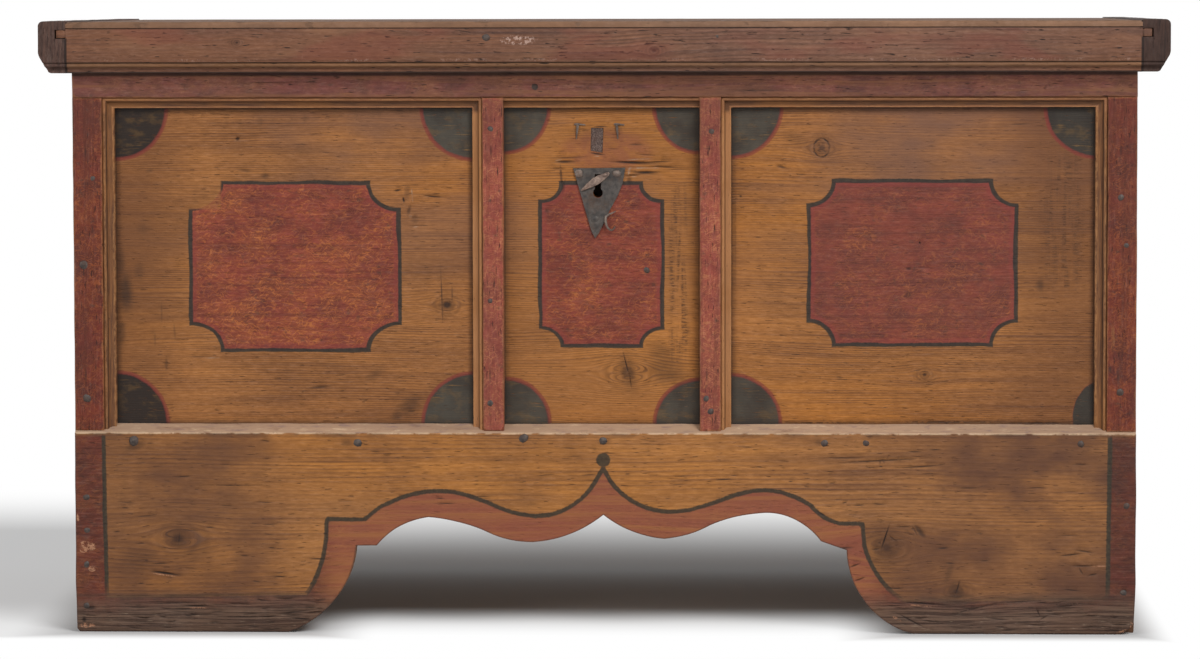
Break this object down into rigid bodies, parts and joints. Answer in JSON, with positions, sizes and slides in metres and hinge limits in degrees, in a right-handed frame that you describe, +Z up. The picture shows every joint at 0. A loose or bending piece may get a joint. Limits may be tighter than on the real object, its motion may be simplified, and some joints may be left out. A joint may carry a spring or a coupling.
{
  "type": "lidded chest",
  "caption": "Painted pine lidded chest on a scalloped plinth, with frame strips and mouldings on its front, an inner till, strap hinges and a working lock.",
  "frame": {"origin": "on the floor, under the centre of the chest's outline as seen from above", "axes": "+X to the right for someone facing the front, -Y out of the front, +Z up; the lid's length lies along X"},
  "size_m": [1.3, 0.616, 0.711],
  "materials": {
    "panel_wood": "aged pine under worn brown varnish with painted red figures",
    "plinth_wood": "aged orange-brown pine, darker and rubbed along the floor",
    "red_paint": "thin dark red paint on pine, rubbed through on the edges",
    "moulding_wood": "dark varnished pine",
    "dark_edge_wood": "dark brown varnished pine",
    "lid_wood": "dry rubbed pine with remains of dark varnish",
    "side_wood": "aged brown pine",
    "bare_wood": "unpainted old pine",
    "forged_iron": "hand-forged iron, dark brown patina"
  },
  "bodies": {
    "carcass": {"back_board_lower": "side_wood", "back_board_upper": "side_wood", "bent_nail": "forged_iron", "bolt_keepers": "forged_iron", "clenched_nails": "forged_iron", "corner_block_left": "bare_wood", "corner_block_right": "bare_wood", "cover_rivet": "forged_iron", "escutcheon": "forged_iron", "escutcheon_nails": "forged_iron", "floor_board_back": "bare_wood", "floor_board_front": "bare_wood", "front_board_lower": "panel_wood", "front_board_upper": "panel_wood", "front_nails": "forged_iron", "hinge_pins": "forged_iron", "hinge_plate_left": "forged_iron", "hinge_plate_nails": "forged_iron", "hinge_plate_right": "forged_iron", "lock_case": "forged_iron", "lock_nails": "forged_iron", "lock_plate": "forged_iron", "lock_posts": "forged_iron", "lock_spring": "forged_iron", "moulding_muntin_left": "moulding_wood", "moulding_muntin_right": "moulding_wood", "moulding_stile_left": "moulding_wood", "moulding_stile_right": "moulding_wood", "moulding_top_centre": "moulding_wood", "moulding_top_left": "moulding_wood", "moulding_top_right": "moulding_wood", "muntin_left": "red_paint", "muntin_right": "red_paint", "plinth": "plinth_wood", "side_board_left_lower": "side_wood", "side_board_left_upper": "side_wood", "side_board_right_lower": "side_wood", "side_board_right_upper": "side_wood", "slot_plug": "bare_wood", "stile_left": "red_paint", "stile_right": "red_paint", "till_floor": "bare_wood", "till_wall": "bare_wood", "top_rail": "red_paint"},
    "lid": {"lid_board_front": "lid_wood", "lid_board_back": "lid_wood", "lid_fascia": "dark_edge_wood", "lid_cleat_left": "dark_edge_wood", "lid_cleat_right": "dark_edge_wood", "cleat_pegs": "lid_wood", "fascia_nails": "forged_iron", "lid_iron_nails": "forged_iron", "hinge_strap_left": "forged_iron", "hinge_strap_right": "forged_iron", "lid_staples": "forged_iron"},
    "till_lid": {"till_lid": "bare_wood"},
    "keyhole_cover": {"keyhole_cover": "forged_iron"},
    "lock_bolt": {"lock_bolt": "forged_iron"},
    "lock_lever": {"lock_lever": "forged_iron"}
  },
  "joints": [
    {"name": "lid_hinge", "type": "hinge", "parent": "carcass", "child": "lid", "pos_m": [0, 0.301, 0.6755], "axis": [-1, 0, 0], "range_deg": [0, 100]},
    {"name": "till_lid_hinge", "type": "hinge", "parent": "carcass", "child": "till_lid", "pos_m": [-0.582, 0.015, 0.553], "axis": [0, -1, 0], "range_deg": [0, 90]},
    {"name": "keyhole_cover_pivot", "type": "hinge", "parent": "carcass", "child": "keyhole_cover", "pos_m": [0.0023, -0.269, 0.5316], "axis": [0, -1, 0], "range_deg": [-20, 110]},
    {"name": "lock_bolt_slide", "type": "slide", "parent": "carcass", "child": "lock_bolt", "axis": [1, 0, 0], "range_m": [0, 0.011]},
    {"name": "lock_lever_turn", "type": "hinge", "parent": "carcass", "child": "lock_lever", "pos_m": [-0.0064, -0.217, 0.55], "axis": [0, 1, 0], "range_deg": [0, 9.1]}
  ],
  "couplings": [
    {"joint": "lock_lever_turn", "follows": "lock_bolt_slide", "rad_per_m": 14.17}
  ]
}
